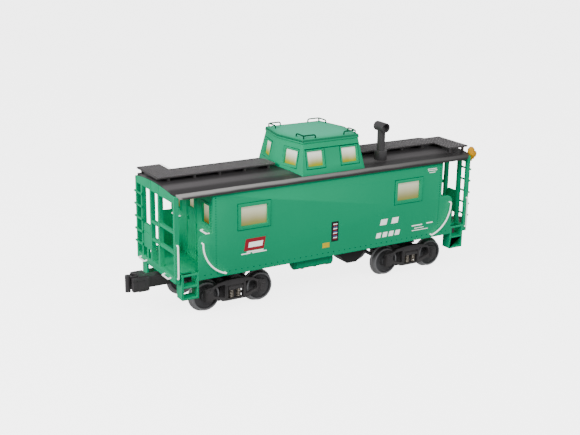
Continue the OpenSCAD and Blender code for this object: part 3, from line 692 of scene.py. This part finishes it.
# %%
DIAMOND = 1.25
squeezed = Matrix.Diagonal((1, 0.4, 1, 1))
for end, spin in (("left", math.pi), ("right", 0)):
    node = "running_board_" + end
    dressed(node, tread_grey, CAR, "roof_grey", 0.12)
    low, high = span(node)
    top_z = high.z
    turned = Matrix.Rotation(spin, 4, "Z")
    near, far = (low.x, high.x) if end == "right" else (-high.x, -low.x)
    cross_low = low.y if end == "right" else -high.y
    tread = bmesh.new()
    lengthwise = (near + 0.8, far - 0.6, -6.5, 6.5)
    crosswise = (far - 15, far - 0.6, cross_low + 0.6, -7.1)
    for x0, x1, y0, y1 in (lengthwise, crosswise):
        across, along = int((y1 - y0) / DIAMOND), int((x1 - x0) / DIAMOND)
        for i in range(along + 1):
            for j in range(across + 1):
                at_point = Vector((x0 + i * DIAMOND, y0 + j * DIAMOND, top_z + 0.05)) * MM
                slant = Matrix.Rotation(math.radians(45 if (i + j) % 2 else -45), 4, "Z")
                place = turned @ Matrix.Translation(at_point) @ slant @ squeezed
                bmesh.ops.create_cone(tread, cap_ends=True, segments=4, radius1=0.55 * MM,
                                      radius2=0.22 * MM, depth=0.2 * MM, matrix=place)
    piece("tread_" + end, tread, tread_points, CAR, "roof_grey", crease=20)
print("boards done")

# %% [markdown]
# ## Wire irons
# A grab iron is one bent wire, so each is a rounded curve through its corner points
# rather than a bar with stubs.

# %%
IRON = 0.95
ARC_R, ARC_CENTRE_X, ARC_CENTRE_Z = 19.5, end_x - 12.8, sill + 20.8
ARC_ANGLES = [math.radians(1.5 - 75 * i / 18) for i in range(19)]
frame_high = span("end_frame_right")[1]
front, post = frame_high.x, frame_high.y
iron_side = span("side_irons")[1].y - 0.45
side_runs, roof_runs = [], []
for x in (-1, 1):
    for y in (-1, 1):
        arc = [(x * (ARC_CENTRE_X + ARC_R * math.cos(a)), y * iron_side,
                ARC_CENTRE_Z + ARC_R * math.sin(a)) for a in ARC_ANGLES]
        first, last = arc[0], arc[-1]
        side_runs.append([(first[0], y * face_y, first[2]), *arc, (last[0], y * face_y, last[2])])
        a, b = x * (HALF_L - DRAW - 1), y * (HALF_W - LEAN - 1)
        foot, lift = rim_z - 0.4, rim_z + 1.9
        roof_runs.append([(a - 8 * x, b, foot), (a - 8 * x, b, lift), (a, b, lift),
                          (a, b - 8 * y, lift), (a, b - 8 * y, foot)])
        roof_runs.append([(a, b, lift), (a, b, foot)])
wire("side_grabs", side_runs, IRON, white, CAR, ("side_irons",), bend=0.4)
wire("cupola_grabs", roof_runs, 0.85, deep_green, CAR, ("cupola_irons",), bend=1.3)
for end, s in (("left", -1), ("right", 1)):
    runs = []
    for y in (-1, 1):
        x, inside, out = s * (front - 1.35), y * (post - 0.3), y * (post + 1.2)
        runs.append([(x, inside, sill + 3), (x, out, sill + 3), (x, out, sill + 22), (x, inside, sill + 22)])
        low_z = sill + 1.9
        runs.append([(s * (front - 0.3), y * 12.6, low_z), (s * (front + 1.6), y * 12.6, low_z - 0.5),
                     (s * (front + 1.6), y * 20.6, low_z - 0.5), (s * (front - 0.3), y * 20.6, low_z)])
        grab_z = sill + 24.6
        runs.append([(s * (end_x - 0.3), y * 14.95, grab_z), (s * (end_x + 1.6), y * 14.95, grab_z),
                     (s * (end_x + 1.6), y * 22.95, grab_z), (s * (end_x - 0.3), y * 22.95, grab_z)])
    wire("end_grabs_" + end, runs, IRON, white, CAR, ("end_irons_" + end,), bend=0.9)
print("wires done")

# %% [markdown]
# ## Door fittings
# The end doors are moulded shut, so their handles and hinges are small trim on the
# wall: a latch plate with a lever, and three hinge barrels.

# %%
LATCH_Y, LATCH_UP, HINGE_Y = 4, 27.2, 6.9
wall = end_x + 0.1
for end, s in (("left", -1), ("right", 1)):
    trim = bmesh.new()
    y, z = -s * LATCH_Y, sill + LATCH_UP
    block(trim, (s * wall - 0.3, y - 0.6, z - 1.2), (s * wall + 0.3, y + 0.6, z + 1.2))
    rod(trim, (s * (wall + 0.2), y, z), (s * (wall + 1), y, z), 0.3, sides=10)
    rod(trim, (s * (wall + 0.9), y, z), (s * (wall + 0.9), y + s * 2, z - 0.4), 0.25, sides=10)
    hinge = s * (wall + 0.35)
    for up in (8, 24, 40):
        rod(trim, (hinge, s * HINGE_Y, sill + up), (hinge, s * HINGE_Y, sill + up + 2.2), 0.4, sides=10)
    piece("door_trim_" + end, trim, green, CAR, "body_green", edge=0.08)
print("door trim done")

# %% [markdown]
# ## Trucks
# Each truck's casting is the CAD side frame with rounded edges. Journal box lids, bolts
# and brake shoes are added to it, and coil springs take the place of the plain
# cylinders. A plain inner box stands for the truck's hidden middle.

# %%
SHOE_Y, COIL_R, COIL_STEPS, STEPS_A_TURN = 16.8, 1.25, 80, 16


def joint_place(child):
    """Where the joint that carries a body stands, in metres."""
    return next(Vector(j["pos_m"]) for j in frame["joints"] if j["child"] == child)


for end, s in (("left", -1), ("right", 1)):
    truck = "truck_" + end
    node = "truck_frame_" + end
    dressed(node, casting, truck, "truck_black", 0.28, steps=3)
    low, high = span(node)
    mid = (low.x + high.x) / 2
    hub = joint_place("wheelset_1" if s < 0 else "wheelset_4") / MM
    arm = abs(hub.x - mid)
    trim = bmesh.new()
    for y in (-1, 1):
        lid = high.y
        face = lid - 1.2
        for x in (-1, 1):
            c = mid + x * arm
            block(trim, (c - 1.45, y * lid - 0.25, hub.z - 1.1), (c + 1.45, y * lid + 0.25, hub.z + 3.3))
            tab = y * (lid + 0.2)
            block(trim, (c - 0.45, tab - 0.2, hub.z - 0.4), (c + 0.45, tab + 0.2, hub.z + 2.6))
            rod(trim, (c - 1.5, y * lid, hub.z + 3.7), (c + 1.5, y * lid, hub.z + 3.7), 0.45, sides=12)
            for z in (6.9, -2.4):
                rivet(trim, (mid + x * 5.8, y * face, hub.z + z), (0, y, 0), 0.55)
            rib, shoe, shoe_y = mid + x * 5.4, mid + x * 7.6, y * SHOE_Y
            block(trim, (rib - 0.35, y * face - 0.3, hub.z - 2.3), (rib + 0.35, y * face + 0.3, hub.z + 5.2))
            block(trim, (shoe - 0.6, shoe_y - 1.2, hub.z - 3.2), (shoe + 0.6, shoe_y + 1.2, hub.z + 2.2))
            rod(trim, (shoe, shoe_y, hub.z + 1.8), (mid + x * 5.6, shoe_y, hub.z + 4.6), 0.5, sides=10)
        for i in range(3):
            rivet(trim, (mid - 3 + 3 * i, y * (face + 0.5), hub.z + 3.5), (0, y, 0), 0.4)
    for x in (-1, 1):
        rod(trim, (mid + x * 7, -17, hub.z - 2.4), (mid + x * 7, 17, hub.z - 2.4), 0.7, sides=12)
    block(trim, (mid - 7.2, -13.5, hub.z - 6.5), (mid + 7.2, 13, hub.z + 2.4))
    piece("truck_trim_" + end, trim, casting, truck, "truck_black", edge=0.15)
    spring_low, spring_high = span("truck_springs_" + end)
    coils = []
    for x in (spring_low.x + 1.6, spring_high.x - 1.6):
        for y in (spring_low.y + 1.6, spring_high.y - 1.6):
            tall = spring_high.z - spring_low.z - 0.5
            angles = [i * 2 * math.pi / STEPS_A_TURN for i in range(COIL_STEPS + 1)]
            coils.append([(x + COIL_R * math.cos(a), y + COIL_R * math.sin(a),
                           spring_low.z + 0.25 + tall * i / COIL_STEPS) for i, a in enumerate(angles)])
    wire("springs_" + end, coils, 0.62, bright, truck, ("truck_springs_" + end,), bend=0.01)
for i in range(1, 5):
    node = f"wheelset_{i}"
    dressed(node, wheel_metal(f"wheel_{i}", joint_place(node)), node, "wheel_metal", 0.16, crease=28)
print("trucks and wheels done")

# %% [markdown]
# ## Couplers
# The CAD head gets the foundry's small features: a ring round the top hole, made by
# spinning one small circle, ribs on the guard, and a rounded knuckle.

# %%
def collar(shape, centre, radius, thickness):
    """Adds a ring of round section lying flat, by spinning a circle about Z."""
    centre = Vector(centre) * MM
    start = Matrix.Translation(centre + Vector((radius * MM, 0, 0))) @ Matrix.Rotation(math.pi / 2, 4, "X")
    made = bmesh.ops.create_circle(shape, segments=10, radius=thickness / 2 * MM, matrix=start)
    geom = made["verts"] + list({e for v in made["verts"] for e in v.link_edges})
    bmesh.ops.spin(shape, geom=geom, cent=centre, axis=(0, 0, 1), angle=2 * math.pi, steps=28,
                   use_merge=True)


for end, s in (("left", -1), ("right", 1)):
    truck = "truck_" + end
    dressed("coupler_" + end, casting, truck, "truck_black", 0.3, steps=3)
    dressed("knuckle_" + end, casting, "knuckle_" + end, "truck_black", 0.35, steps=3)
    pin = joint_place("knuckle_" + end) / MM
    low, high = span("coupler_" + end)
    trim = bmesh.new()
    collar(trim, (pin.x + s * 1.9, s * 0.6, high.z), 2.5, 0.6)
    collar(trim, (pin.x, pin.y, high.z), 1.3, 0.5)
    guard_y = s * 5.6
    for x in (-4.6, -2.4, 1.8):
        rib = pin.x + s * x
        block(trim, (rib - 0.35, guard_y - 0.2, pin.z - 3), (rib + 0.35, guard_y + 0.2, pin.z + 3))
    for z in (-2.7, 2.4):
        block(trim, (pin.x - 4.8, guard_y - 0.2, pin.z + z), (pin.x + 3.4, guard_y + 0.2, pin.z + z + 0.45))
    back, bar_z = pin.x - s * 4.4, high.z - 0.2
    rod(trim, (back, s * 3.4, bar_z), (back, -s * 3.4, bar_z), 0.45, sides=10)
    piece("coupler_trim_" + end, trim, casting, truck, "truck_black", edge=0.1)
print("couplers done")

# %% [markdown]
# ## Floor
# The floor is only a stage. It glows, so that it stays pale, and it is hidden from
# bounced light, so that it doesn't light the car from below.

# %%
ground = bmesh.new()
bmesh.ops.create_grid(ground, x_segments=1, y_segments=1, size=6)
ground_mesh = bpy.data.meshes.new("floor")
ground.to_mesh(ground_mesh)
ground.free()
floor_look, floor_surface, floor_at = material("pale_floor")
floor_tint = floor_at.noise(3, 2.0).blend(rgb(0.86, 0.86, 0.86), rgb(0.9, 0.9, 0.9))
feed(floor_surface, Base_Color=floor_tint, Roughness=0.8, Emission_Color=floor_tint, Emission_Strength=4.5)
ground_mesh.materials.append(floor_look)
floor = bpy.data.objects.new("floor", ground_mesh)
floor.location.z = -0.0001
floor.visible_diffuse = floor.visible_glossy = False
scene.collection.objects.link(floor)
